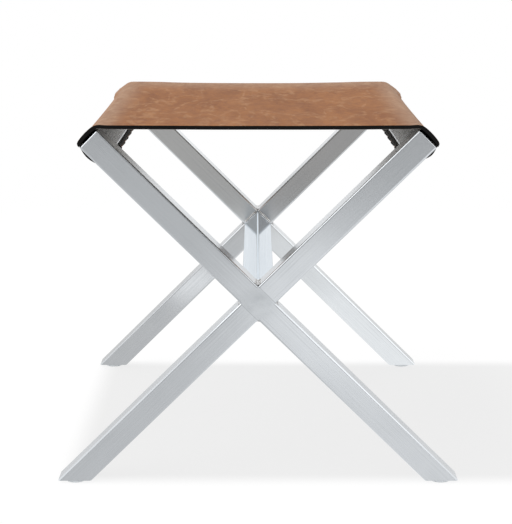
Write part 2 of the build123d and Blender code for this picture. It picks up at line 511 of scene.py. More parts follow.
@dataclass(frozen=True)
class PullUpLeather:
    """Thick waxed pull-up leather, tan with a cloudy hand-rubbed finish.

    Wax moves under the hand, so the colour is cloudy, with pale veins, and turns paler where the
    leather is bent over the rails, where a painted sheen is added too, as it is along the back edge.
    Its grain shows as a fine pebble and its shine is soft.
    """

    deep: str = "#8D5327"
    tan: str = "#B37745"
    rubbed: str = "#C4966C"
    pulled: str = "#C2A48C"
    cloud: float = 45 * MM
    mottle: float = 12.5 * MM
    vein: float = 34 * MM
    # The hide's clouds and veins run along its length, from front to back, and its mottles a little
    drawn_out: float = 4.0
    mottle_drawn_out: float = 1.9
    mottle_depth: float = 0.3 * MM
    # The real pebble is about 0.6 mm, which is too fine to show
    pebble: float = 2.6 * MM
    pebble_depth: float = 0.12 * MM

    def make(self, flat_map: str, pulled_and_sheen_map: str) -> Material:
        """Builds the material.

        Args:
            flat_map: The UV map of the leather laid flat, in metres.
            pulled_and_sheen_map: The attribute that says how far the leather is bent, with painted
                sheen on the bends and the back edge.

        Returns:
            The material.
        """
        material, shader, add = new_material("pull_up_leather")
        laid = add("UVMap", uv_map=flat_map)
        long, short = (
            add("Mapping", {"Vector": laid, "Scale": (1, 1 / stretch, 1)})
            for stretch in (self.drawn_out, self.mottle_drawn_out)
        )
        # Four noises over the flat leather
        clouds, mottles, veins, broken = (
            add("TexNoise", {"Vector": place, "Scale": 1 / size, "Detail": detail, **more})
            for place, size, detail, more in (
                (long, self.cloud, 4.0, {"Roughness": 0.6, "Distortion": 0.5}),
                (short, self.mottle, 5.0, {"Roughness": 0.65, "Distortion": 1.1}),
                (long, self.vein, 2.0, {"Roughness": 0.5, "Distortion": 0.7}),
                (short, self.mottle, 3.0, {"Roughness": 0.6, "Lacunarity": 2.3}),
            )
        )
        inputs = {"Value": broken, "From Min": 0.38, "From Max": 0.66}
        broken = add("MapRange", inputs, interpolation_type="SMOOTHSTEP")
        # Clouds and mottles make the body colour
        body = add("Math", {0: clouds, 1: mottles}, operation="ADD")
        body = add("MapRange", {"Value": body, "From Min": 0.7, "From Max": 1.3})
        # Rubbed veins lie where a noise passes its middle, and are broken up by another
        ridge = add("Math", {0: veins, 1: 0.5}, operation="SUBTRACT")
        ridge = add("Math", {0: ridge}, operation="ABSOLUTE")
        inputs = {"Value": ridge, "From Max": 0.08, "To Min": 0.5, "To Max": 0.0}
        ridge = add("MapRange", inputs, interpolation_type="SMOOTHSTEP")
        ridge = add("Math", {0: ridge, 1: broken}, operation="MULTIPLY")
        # Bends are pulled pale and carry painted sheen, as does the back edge, most of all on the
        # mottles
        bent = add("Attribute", out="Fac", attribute_name=pulled_and_sheen_map)
        bent = add("Math", {0: bent, 1: mottles}, operation="MULTIPLY")
        colour = linear(self.deep)
        for share, over in ((body, self.tan), (ridge, self.rubbed), (bent, self.pulled)):
            inputs = {MIX_FACTOR: share, MIX_A: colour, MIX_B: linear(over)}
            colour = add("Mix", inputs, MIX_OUT, data_type="RGBA")
        rough = add("MapRange", {"Value": mottles, "To Min": 0.58, "To Max": 0.78})
        inputs = {"Vector": laid, "Scale": 1 / self.pebble, "Randomness": 1.0}
        pebbles = add("TexVoronoi", inputs, "Distance")
        relief = add("Bump", {"Height": pebbles, "Strength": 0.25, "Distance": self.pebble_depth})
        inputs = {"Height": mottles, "Strength": 0.3, "Distance": self.mottle_depth, "Normal": relief}
        relief = add("Bump", inputs)
        fill(shader, {"Specular IOR Level": 0.22})
        fill(shader, {"Base Color": colour, "Roughness": rough, "Normal": relief})
        return material


@dataclass(frozen=True)
class CutLeather:
    """Leather away from its grain side: fibrous on the back, painted on the edges, with a painted
    highlight on the top edge.

    The eye sees short matt fibres in two tones, in broad paler and darker areas.
    """

    name: str
    dark: str
    pale: str
    roughness: tuple[float, float]
    fibre: float
    fibre_depth: float = 0.15 * MM
    area: float = 25 * MM

    def make(self, flat_map: str) -> Material:
        """Builds the material.

        Args:
            flat_map: The UV map of the leather laid flat, in metres.

        Returns:
            The material.
        """
        material, shader, add = new_material(self.name)
        place = add("TexCoord", out="Object")
        inputs = {"Vector": place, "Scale": 1 / self.fibre, "Detail": 4.0, "Roughness": 0.7}
        fibres = add("TexNoise", inputs)
        flat = add("UVMap", uv_map=flat_map)
        broad = add("TexNoise", {"Vector": flat, "Scale": 1 / self.area, "Detail": 3.0})
        share = add("Math", {0: fibres, 1: broad}, operation="MULTIPLY")
        inputs = {MIX_FACTOR: share, MIX_A: linear(self.dark), MIX_B: linear(self.pale)}
        colour = add("Mix", inputs, MIX_OUT, data_type="RGBA")
        inputs = {"Value": fibres, "To Min": self.roughness[0], "To Max": self.roughness[1]}
        rough = add("MapRange", inputs)
        relief = add("Bump", {"Height": fibres, "Strength": 0.4, "Distance": self.fibre_depth})
        fill(shader, {"Specular IOR Level": 0.15})
        fill(shader, {"Base Color": colour, "Roughness": rough, "Normal": relief})
        return material


@dataclass(frozen=True)
class Station:
    """A place on the section of the leather, on the side that lies on the rails."""

    place: Vector
    out: Vector
    run: float
    bent: bool = False

    def mirrored(self) -> "Station":
        """The same place on the other side of the stool."""
        flip = Vector((-1, 1))
        return Station(self.place * flip, self.out * flip, -self.run, self.bent)

    def moved(self, by: Vector, run: float = 0.0) -> "Station":
        """The station moved in the section, and along the leather by a run."""
        return replace(self, place=self.place + by, run=self.run + run)


class LeatherMesh:
    """Points and faces of a thick sheet: an outer layer, the same points on its back, and its rim."""

    TOP_RIM = "top_rim"
    BACK_RIM = "back_rim"

    def __init__(self) -> None:
        """Starts with no points."""
        self.index: dict[Key, int] = {}
        self.outer: list[Vector] = []
        self.back: list[Vector] = []
        self.flat: list[tuple[float, float]] = []
        self.pale: list[float] = []
        self.faces: list[tuple[int, ...]] = []

    def add(
        self, key: Key, station: Station, y: float, thick: float, drop: float, pale: float
    ) -> None:
        """Adds a point to both layers.

        Args:
            key: The part of the sheet, the row and the column.
            station: Where the back lies in the section.
            y: Place from front to back.
            thick: Thickness there.
            drop: How far it hangs.
            pale: How pale it is from stretching and from painted sheen.
        """
        self.index[key] = len(self.outer)
        back = Vector((station.place.x, y, station.place.y - drop))
        self.back.append(back)
        self.outer.append(back + Vector((station.out.x, 0, station.out.y)) * thick)
        self.flat.append((station.run, y))
        self.pale.append(pale)

    def strip(self, rows: list[tuple[Part, int]], column: int) -> None:
        """Adds the faces between two columns wherever all four corners are there.

        Args:
            rows: Parts and rows, in order across the stool.
            column: The first of the two columns.
        """
        for row, after in zip(rows, rows[1:]):
            keys = [(*row, column), (*after, column), (*after, column + 1), (*row, column + 1)]
            if all(k in self.index for k in keys):
                self.faces.append(tuple(self.index[k] for k in keys))

    def finish(
        self,
        name: str,
        flat_map: str,
        pulled_and_sheen_map: str,
        unrounded: set[Key],
        black_back: Callable[[Vector], bool],
    ) -> Piece:
        """Closes the sheet and makes it an object.

        Args:
            name: The object's name.
            flat_map: Name of the UV map of the sheet laid flat.
            pulled_and_sheen_map: Name of the attribute that says how pale a point is, from bending
                and from painted sheen.
            unrounded: Points whose rim stays as it is.
            black_back: Says of a place on the back whether it takes the black of the edges.

        Returns:
            The object.
        """
        count = len(self.outer)
        edges = {(f[n], f[(n + 1) % 4]) for f in self.faces for n in range(4)}
        rim = sorted((a, b) for a, b in edges if (b, a) not in edges)
        faces = list(self.faces)
        faces += [tuple(n + count for n in reversed(f)) for f in self.faces]
        faces += [(b, a, a + count, b + count) for a, b in rim]
        mesh = bpy.data.meshes.new(name)
        mesh.from_pydata([*self.outer, *self.back], [], faces)
        sides = [LeatherSide.GRAIN] * len(self.faces)
        for face in self.faces:
            black = all(black_back(self.back[n]) for n in face)
            sides.append(LeatherSide.EDGE if black else LeatherSide.BACK)
        sides += [LeatherSide.EDGE] * len(rim)
        mesh.polygons.foreach_set("material_index", sides)
        layer = mesh.uv_layers.new(name=flat_map)
        low_u = min(u for u, _ in self.flat)
        low_v = min(v for _, v in self.flat)
        for loop in mesh.loops:
            u, v = self.flat[loop.vertex_index % count]
            layer.data[loop.index].uv = (u - low_u, v - low_v)
        attribute = mesh.attributes.new(pulled_and_sheen_map, "FLOAT", "POINT")
        attribute.data.foreach_set("value", self.pale + self.pale)
        piece = new_object(name, mesh)
        skipped = {self.index[key] for key in unrounded}
        members = sorted({n for edge in rim for n in edge} - skipped)
        piece.vertex_groups.new(name=self.TOP_RIM).add(members, 1.0, "ADD")
        piece.vertex_groups.new(name=self.BACK_RIM).add([n + count for n in members], 1.0, "ADD")
        return piece


@dataclass
class SlingSeat:
    """Leather sling: flat seat, bends over the rails, flaps under them and tabs over the leg ends."""

    rail: Vector
    top: float
    half_length: float
    thickness: float = 4.8 * MM
    slope_gap: float = 1.19 * MM
    flap_gap: float = 0.3 * MM
    seat_bend: float = 12 * MM
    rail_bend: float = 2.8 * MM
    flap_half_length: float = 216 * MM
    tab_round: float = 4.5 * MM
    tab_rows: int = 4
    # How finely the mesh is divided
    flat_step: float = 8 * MM
    run_step: float = 2 * MM
    column_step: float = 4 * MM
    facet: float = math.radians(7.5)
    # How the seat hangs between the rails
    sag_front: float = 0.5 * MM
    sag_back: float = 2.2 * MM
    sag_middle: float = 1.0 * MM
    uneven: float = 0.35 * MM
    uneven_width: float = 75 * MM
    # How the stiff leather stands off the rails, with places as shares of its way down the slope
    wide_back: float = 4.5 * MM
    full_back: float = 1.5 * MM
    full_tab: float = 1.8 * MM
    full_front_tab: float = 2.4 * MM
    full_tab_length: float = 45 * MM
    hug: float = 0.9 * MM
    let_go: tuple[float, float] = (1.1, 0.6)
    back_rise: tuple[float, float] = (0.2045, 0.6591)
    front_rise: tuple[float, float] = (0.1, 1.05)
    flap_full: tuple[float, float] = (3.7 * MM, 3.6 * MM)
    flap_start: float = 0.95
    flap_reach: tuple[float, float] = (0.75, 0.55)
    # How far it is pulled pale at the bends, where a painted sheen is added too, and how far a
    # painted sheen pales the back edge
    pulled_and_sheen_reach: float = 16 * MM
    painted_sheen_back: float = 1.0
    painted_sheen_reach: float = 70 * MM
    edge_round: float = 0.7 * MM
    edge_steps: int = 3
    smooth_below: float = 50
    # The screws that press the flaps to the rails
    screw_pitch: float = 43.556 * MM
    screw_edge: float = 7.5 * MM
    screws: int = 10
    pucker_height: float = 0.5 * MM
    pucker_ring: float = 7 * MM
    pucker_width: float = 2 * MM
    flat_map: str = "flat"
    pulled_and_sheen_map: str = "pulled"

    def corner_points(self) -> list[Vector]:
        """Works out the corners of the right half of the section.

        Returns:
            The corners, from the middle of the seat to the flap's end.
        """
        out = Vector((1, 1)).normalized()
        up = Vector((-1, 1)).normalized()
        middle = Vector((self.rail.x, self.rail.z))
        below = self.top - self.thickness
        slope = middle + out * (TUBE_HALF + self.slope_gap)
        bend = slope + up * ((below - slope.y) / up.y)
        near = TUBE_HALF + self.flap_gap
        outer = slope - up * near
        under = middle - out * near - up * near
        return [Vector((0, below)), bend, outer, under, under + up * (near + TUBE_HALF)]

    def right_half(self) -> list[Station]:
        """Lays stations along the right half of the section.

        Returns:
            The stations, from the middle of the seat to the flap's end.
        """
        corners = self.corner_points()
        radii = [0.0, self.seat_bend, self.rail_bend, self.rail_bend, 0.0]
        made: list[Station] = []
        run = 0.0
        start = corners[0]
        for number in range(1, len(corners)):
            along = (corners[number] - corners[number - 1]).normalized()
            out = Vector((-along.y, along.x))
            turn = 0.0
            if number < len(corners) - 1:
                turn = along.angle((corners[number + 1] - corners[number]).normalized())
            end = corners[number] - along * (radii[number] * math.tan(turn / 2))
            length = (end - start).length
            step = self.flat_step if number == 1 else self.run_step
            pieces = max(1, math.ceil(length / step))
            for count in range(0 if number == 1 else 1, pieces + 1):
                place = start.lerp(end, count / pieces)
                made.append(Station(place, out, run + length * count / pieces))
            run += length
            if not turn:
                continue
            centre = end - out * radii[number]
            facets = math.ceil(turn / self.facet)
            for count in range(1, facets + 1):
                spoke = Matrix.Rotation(-turn * count / facets, 2) @ out
                place = centre + spoke * radii[number]
                far = run + radii[number] * turn * count / facets
                made.append(Station(place, spoke, far, True))
            run += radii[number] * turn
            start = place
        return made

    def from_front(self, y: float) -> float:
        """How far a place is from the front edge to the back one, from 0 to 1."""
        return (y + self.half_length) / (2 * self.half_length)

    def sag(self, x: float, y: float) -> float:
        """How far the flat of the seat hangs below its edges at a place.

        Args:
            x: Place across the seat.
            y: Place from front to back.

        Returns:
            The drop, which is nothing at the bends.
        """
        flat_end = self.corner_points()[1].x - self.seat_bend
        if abs(x) >= flat_end:
            return 0.0
        back = self.from_front(y)
        deep = self.sag_front + (self.sag_back - self.sag_front) * back
        deep += self.sag_middle * 4 * back * (1 - back)
        hill = noise.noise(Vector((x, y, 0)) / self.uneven_width)
        inside = 1 - (x / flat_end) ** 2
        return (deep + self.uneven * (0.5 + hill)) * inside * min(1.0, 2 * inside)

    def fullness(self, station: Station, y: float) -> Vector:
        """How far the stiff leather stands off the rails where it bends over and under them.

        Args:
            station: Place in the section.
            y: Place from front to back.

        Returns:
            The shift in the section, which grows towards the free tabs at the back.
        """
        corners = self.corner_points()
        flat_end = corners[1].x - self.seat_bend
        slope_end = corners[1].x - flat_end + (corners[2] - corners[1]).length
        along = (abs(station.run) - flat_end) / slope_end
        back = self.from_front(y)
        on_flap = abs(y) <= self.flap_half_length
        held = ramp(along, *self.let_go) if on_flap else 1.0
        wide = ramp(along, -1, 0) * held * self.wide_back * back**2
        shift = Vector((math.copysign(wide, station.place.x), 0.0))
        if along <= 0:
            return shift
        tab = ramp(self.half_length - abs(y), self.full_tab_length, 0) ** 2
        if y > 0:
            tab *= self.full_tab
            rise = ramp(along, *self.back_rise)
        else:
            tab *= self.full_front_tab
            rise = math.sin(math.pi * ramp(along, *self.front_rise))
        drawn_in = self.hug * (1 - back) * ramp(y + self.half_length, 0, self.full_tab_length)
        off = (self.full_back * back + tab - drawn_in) * held * rise
        on_right = station.place.x > 0
        share = (along - self.flap_start) / self.flap_reach[on_right]
        if 0 < share < 1 and on_flap:
            off += self.flap_full[on_right] * math.sin(math.pi * share)
        return shift + station.out * off

    def tab_thickness(self, to_end: float) -> float:
        """Thickness of a tab near its end, which is skived round.

        Args:
            to_end: How far the place is from the tab's end.

        Returns:
            The thickness there.
        """
        if to_end >= self.tab_round:
            return self.thickness
        fall = self.tab_round - to_end
        return self.thickness - self.tab_round + math.sqrt(self.tab_round**2 - fall**2)

    def pucker(self, to_flap_end: float, y: float) -> float:
        """How far the flap bulges round the screws that press it to the rail.

        Args:
            to_flap_end: How far the place is from the flap's end.
            y: Place from front to back.

        Returns:
            The extra thickness there.
        """
        number = min(max(round(y / self.screw_pitch + (self.screws - 1) / 2), 0), self.screws - 1)
        across = y - (number - (self.screws - 1) / 2) * self.screw_pitch
        distance = math.hypot(across, to_flap_end - self.screw_edge)
        from_ring = (distance - self.pucker_ring) / self.pucker_width
        return self.pucker_height * math.exp(-(from_ring**2))

    def pulled(self, station: Station, y: float, right: list[Station]) -> float:
        """How pale the leather is at a place, from stretching in a bend and from painted sheen.

        Args:
            station: The station.
            y: Place from front to back.
            right: The stations of the right half, among them those in the bends.

        Returns:
            1 in a bend, falling to 0 away from it, and some painted sheen at the back edge.
        """
        nearest = min(abs(abs(station.run) - s.run) for s in right if s.bent)
        to_back = self.half_length - y
        bent = math.exp(-((nearest / self.pulled_and_sheen_reach) ** 2))
        # The back edge is paled by painted sheen alone
        return max(bent, self.painted_sheen_back * math.exp(-((to_back / self.painted_sheen_reach) ** 2)))

    def columns(self) -> list[float]:
        """Places the columns of the mesh.

        Returns:
            Their places from front to back, with one at each end of the flaps.
        """
        half, flap = self.half_length, self.flap_half_length
        tab = half - flap
        tab_count = math.ceil(tab / self.column_step)
        count = math.ceil(2 * flap / self.column_step)
        made = [-half + tab * n / tab_count for n in range(tab_count)]
        made += [-flap + 2 * flap * n / count for n in range(count + 1)]
        return made + [flap + tab * (n + 1) / tab_count for n in range(tab_count)]

    def build(self) -> Piece:
        """Models the sling as one closed piece.

        Returns:
            The piece, with slots for the grain side, the back, the edges and the top edge's painted
            highlight.
        """
        # Rows run across the stool, and those from first to last lie between the flaps
        right = self.right_half()
        rows = [s.mirrored() for s in reversed(right[1:])] + right
        bends = [n for n in range(1, len(right)) if right[n].bent and not right[n - 1].bent]
        last = len(right) - 1 + bends[1] - 1
        first = len(rows) - 1 - last
        slope = right[bends[1] - 1]
        corners = self.corner_points()
        tab_left = (corners[2] - slope.place).length - self.flap_gap
        ys = self.columns()
        sheet = LeatherMesh()
        for column, y in enumerate(ys):
            on_tab = abs(y) > self.flap_half_length + SAME
            for row, station in enumerate(rows):
                on_flap = not first <= row <= last
                if on_tab and on_flap:
                    continue
                thick = self.thickness
                if on_tab:
                    thick = self.tab_thickness(slope.run + tab_left - abs(station.run))
                if on_flap:
                    thick += self.pucker(right[-1].run - abs(station.run), y)
                place = station.moved(self.fullness(station, y))
                drop = self.sag(station.place.x, y)
                pale = self.pulled(station, y, right)
                sheet.add((Part.SHEET, row, column), place, y, thick, drop, pale)
            if abs(y) >= self.flap_half_length - SAME:
                self.add_tabs(sheet, slope, tab_left, column, y)
        across = [(Part.SHEET, row) for row in range(len(rows))]
        tab_rows = range(1, self.tab_rows + 1)
        right_tab = [(Part.SHEET, last), *((Part.RIGHT_TAB, row) for row in tab_rows)]
        left_tab = [*((Part.LEFT_TAB, row) for row in reversed(tab_rows)), (Part.SHEET, first)]
        for column in range(len(ys) - 1):
            for strip in (across, right_tab, left_tab):
                sheet.strip(strip, column)
        # The backs of the tabs past the flaps take the black of the edges
        piece = sheet.finish(
            "leather_sling",
            self.flat_map,
            self.pulled_and_sheen_map,
            {key for key in sheet.index if key[0] is not Part.SHEET},
            lambda p: abs(p.x) > corners[1].x and abs(p.y) > self.flap_half_length,
        )
        self.round_edges(piece)
        smooth_over(piece, self.smooth_below)
        return piece

    def add_tabs(
        self, sheet: LeatherMesh, slope: Station, left: float, column: int, y: float
    ) -> None:
        """Adds a column of both tabs, which go straight on where the slope ends.

        Args:
            sheet: The sheet that gets the points.
            slope: The last station on the right slope.
            left: How far the tabs go on from there.
            column: The column.
            y: Its place from front to back.
        """
        along = Vector((slope.out.y, -slope.out.x))
        for row in range(1, self.tab_rows + 1):
            gone = left * row / self.tab_rows
            end = slope.moved(along * gone, gone)
            end = end.moved(self.fullness(end, y))
            thick = self.tab_thickness(left - gone)
            sheet.add((Part.RIGHT_TAB, row, column), end, y, thick, 0.0, 1.0)
            sheet.add((Part.LEFT_TAB, row, column), end.mirrored(), y, thick, 0.0, 1.0)

    def round_edges(self, piece: Piece) -> None:
        """Rounds the sling's edges, of which the one round its grain side carries a painted
        highlight.

        Args:
            piece: The sling.
        """
        for rim, side in (
            (LeatherMesh.TOP_RIM, LeatherSide.TOP_EDGE),
            (LeatherMesh.BACK_RIM, LeatherSide.EDGE),
        ):
            rounding = piece.modifiers.new(rim, "BEVEL")
            rounding.width = self.edge_round
            rounding.segments = self.edge_steps
            rounding.limit_method = "VGROUP"
            rounding.vertex_group = rim
            rounding.material = side
            rounding.use_clamp_overlap = False
        apply_modifiers(piece)

    def place(self) -> Piece:
        """Builds the sling, dresses it and puts it on the frame in place of its CAD solid.

        Returns:
            The sling.
        """
        piece = self.build()
        cut_sides = (
            # Suede: grey and matt, with short fibres
            CutLeather("flesh_side_suede", "#85807A", "#C0B9B1", (0.75, 0.95), 0.9 * MM),
            # Edge paint: black and half matt
            CutLeather("black_edge_paint", "#060505", "#171311", (0.4, 0.6), 2.5 * MM),
            # Painted highlight along the top edge: pale tan and half matt
            CutLeather("painted_highlight_leather_edge", "#8A5F43", "#CDA689", (0.4, 0.6), 3 * MM),
        )
        grain_side = PullUpLeather().make(self.flat_map, self.pulled_and_sheen_map)
        dress(piece, grain_side, *(side.make(self.flat_map) for side in cut_sides))
        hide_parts("seat_leather")
        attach(piece, SOLID_BODY)
        run = self.right_half()[-1].run
        width = 2 * run
        cut = width * 2 * self.flap_half_length
        # Beside the flaps the sheet ends at the slope's foot, two faces of the rail earlier
        tab_run = run - 4 * TUBE_HALF
        cut += 2 * tab_run * 2 * (self.half_length - self.flap_half_length)
        return piece


@dataclass
class WeldBeads:
    """Hand-laid fillet welds: one rippled bead, modelled once and copied into each inner corner."""

    middle: Vector
    inner_y: float
    rail: Vector
    length: float = 25 * MM
    leg: float = 3 * MM
    ripples: int = 10
    rings: int = 4
    valley: float = 0.82
    # How bluntly its ends run out, and the size that they keep
    blunt: int = 6
    run_out: float = 0.35
    sides: int = 32
    smooth_below: float = 45

    def radius(self, share: float) -> float:
        """The bead's size part of the way along it.

        Args:
            share: How far along, from 0 to 1.

        Returns:
            The radius there: ripples, run out at both ends.
        """
        ripple = abs(math.sin(math.pi * share * self.ripples))
        end = math.sqrt(1 - abs(2 * share - 1) ** self.blunt)
        return self.leg * (self.valley + (1 - self.valley) * ripple) * max(end, self.run_out)

    def model(self) -> Piece:
        """Models a bead along Z.

        Returns:
            The bead, whose two flat sides lie in the planes of X and Y.
        """
        clear_selection()
        low = -self.length / 2
        bpy.ops.mesh.primitive_circle_add(
            vertices=self.sides, radius=self.radius(0), fill_type="NGON", location=(0, 0, low)
        )
        bead = bpy.context.object
        bpy.ops.object.transform_apply(location=True, rotation=True, scale=True)
        bpy.ops.object.mode_set(mode="EDIT")
        bpy.ops.mesh.select_all(action="SELECT")
        count = self.ripples * self.rings
        for ring in range(1, count + 1):
            extrude_up(self.length / count)
            grow = self.radius(ring / count) / self.radius((ring - 1) / count)
            height = low + self.length * ring / count
            bpy.ops.transform.resize(value=(grow, grow, 1), center_override=(0, 0, height))
        for normal in ((1, 0, 0), (0, 1, 0)):
            bpy.ops.mesh.select_all(action="SELECT")
            bpy.ops.mesh.bisect(
                plane_co=(0, 0, 0), plane_no=normal, use_fill=True, clear_inner=True
            )
        bpy.ops.object.mode_set(mode="OBJECT")
        close_mesh(bead)
        smooth_over(bead, self.smooth_below)
        return bead

    def corners(self, end_name: str) -> list[tuple[str, str, Vector, Vector]]:
        """Lists the corners that are welded at one end of the stool.

        Args:
            end_name: Which end.

        Returns:
            Each bead's name, the node that it replaces, the tube's middle and its face's normal.
        """
        made = []
        for number in range(4):
            angle = math.radians(45 + 90 * number)
            face = Vector((math.cos(angle), 0, math.sin(angle)))
            name = f"stretcher_weld_{end_name}_{number + 1}"
            made.append((name, "stretcher_welds", self.middle, face))
        for side in Side:
            tube = Vector((side.value * self.rail.x, 0, self.rail.z))
            face = Vector((-side.value, 0, -1)).normalized()
            made.append((f"rail_weld_{end_name}_{side.name.lower()}", "rail_welds", tube, face))
        return made

    def place(self) -> list[Piece]:
        """Copies the bead to the ends of the stretcher and of the rails.

        Returns:
            The copies.
        """
        bead = self.model()
        finish = CLEANED_WELD.make()
        made = []
        for end, end_name in ((-1, "front"), (1, "rear")):
            away = Vector((0, -end, 0))
            for name, node, tube, face in self.corners(end_name):
                root = Vector((tube.x, end * self.inner_y, tube.z)) + face * TUBE_HALF
                turn = Matrix((face, away, face.cross(away))).transposed().to_4x4()
                piece = copy_to(bead, name, Matrix.Translation(root) @ turn)
                dress(piece, finish)
                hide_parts(node)
                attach(piece, SOLID_BODY)
                made.append(piece)
        bpy.data.objects.remove(bead)
        return made


@dataclass
class LevellingGlides:
    """Levelling glides: clear pads on threaded studs, modelled once and copied to each foot."""

    stud_low: Vector
    stud_high: Vector
    pad_low: Vector
    pad_high: Vector
    pitch: float = 1.0 * MM
    thread_depth: float = 0.55 * MM
    thread_steps: int = 24
    # Turns swept past each end, which are then cut off
    spare_turns: int = 2
    sides: int = 64
    foot_round: float = 1.0 * MM
    foot_steps: int = 4
    rim_round: float = 0.35 * MM
    rim_steps: int = 2
    rim_width: float = 2.0 * MM
    groove_depth: float = 0.5 * MM
    boss_radius: float = 5.5 * MM
    socket_room: float = 0.05 * MM
    dish_rim: float = 3.0 * MM
    dish_depth: float = 0.5 * MM
    smooth_below: float = 35

    def stud(self) -> Piece:
        """Models the threaded stud by sweeping one tooth of its thread.

        Returns:
            The stud, on the Z axis.
        """
        crest = (self.stud_high.x - self.stud_low.x) / 2
        root = crest - self.thread_depth
        start = self.stud_low.z - self.spare_turns * self.pitch
        length = self.stud_high.z - self.stud_low.z
        # Points of a tooth, as radius and share of the pitch
        tooth = [(root, 0.0), (root, 0.1), (crest, 0.48), (crest, 0.62), (root, 1.0)]
        mesh = bpy.data.meshes.new("glide_stud")
        points = [(x, 0, start + z * self.pitch) for x, z in tooth]
        mesh.from_pydata(points, [(n, n + 1) for n in range(len(tooth) - 1)], [])
        stud = new_object("glide_stud", mesh)
        sweep = stud.modifiers.new("thread", "SCREW")
        sweep.screw_offset = self.pitch
        sweep.iterations = math.ceil(length / self.pitch) + 2 * self.spare_turns
        sweep.steps = self.thread_steps
        sweep.render_steps = self.thread_steps
        apply_modifiers(stud)
        close_mesh(stud)
        bpy.ops.object.mode_set(mode="EDIT")
        for height, up in ((self.stud_low.z, -1), (self.stud_high.z, 1)):
            bpy.ops.mesh.select_all(action="SELECT")
            bpy.ops.mesh.bisect(
                plane_co=(0, 0, height), plane_no=(0, 0, up), use_fill=True, clear_outer=True
            )
        bpy.ops.object.mode_set(mode="OBJECT")
        close_mesh(stud, MERGE / 2)
        smooth_over(stud, self.smooth_below)
        return stud

    def pad(self) -> Piece:
        """Models the pad: round foot, grooved top, boss with a socket for the stud, dished below.

        Returns:
            The pad, on the Z axis.
        """
        clear_selection()
        low, high = self.pad_low.z, self.pad_high.z
        radius = (self.pad_high.x - self.pad_low.x) / 2
        bpy.ops.mesh.primitive_cylinder_add(
            vertices=self.sides, radius=radius, depth=high - low, location=(0, 0, (low + high) / 2)
        )
        pad = bpy.context.object
        bpy.ops.object.transform_apply(location=True, rotation=True, scale=True)
        bpy.ops.object.mode_set(mode="EDIT")
        for height, size, steps in (
            (low, self.foot_round, self.foot_steps),
            (high, self.rim_round, self.rim_steps),
        ):
            pick(pad, Kind.EDGE, lambda e: all(abs(v.co.z - height) < MERGE for v in e.verts))
            bpy.ops.mesh.bevel(offset=size, segments=steps, affect="EDGES")
        groove = radius - self.rim_round - self.rim_width
        hole = (self.stud_high.x - self.stud_low.x) / 2 + self.socket_room
        pick(pad, Kind.FACE, lambda f: f.normal.z > LEVEL)
        for inset, height in (
            (self.rim_width, -self.groove_depth),
            (groove - self.boss_radius, self.groove_depth),
            (self.boss_radius - hole, self.stud_low.z - high),
        ):
            bpy.ops.mesh.inset(thickness=inset)
            extrude_up(height)
        pick(pad, Kind.FACE, lambda f: f.normal.z < -LEVEL)
        bpy.ops.mesh.inset(thickness=self.dish_rim)
        extrude_up(self.dish_depth)
        bpy.ops.object.mode_set(mode="OBJECT")
        close_mesh(pad)
        smooth_over(pad, self.smooth_below)
        return pad

    def place(self) -> list[Piece]:
        """Copies a stud and a pad to each foot.

        Returns:
            The copies.
        """
        models = {"glide_stud": self.stud(), "glide_pad": self.pad()}
        # Rolled thread: even grey steel with small dull patches
        thread = PatchySteel("rolled_thread_steel", "#BFC1C2", "#8F9192", (0.24, 0.40))
        finishes = {"glide_stud": thread.make(), "glide_pad": ClearPlastic().make()}
        made = []
        for corner in CORNERS:
            for kind, model in models.items():
                low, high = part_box(f"{corner}_{kind}")
                middle = (low + high) / 2
                place = Matrix.Translation((middle.x, middle.y, 0))
                piece = copy_to(model, f"{corner}_{kind}_looks", place)
                dress(piece, finishes[kind])
                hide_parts(f"{corner}_{kind}")
                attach(piece, f"{corner}_glide")
                made.append(piece)
        for model in models.values():
            bpy.data.objects.remove(model)
        return made


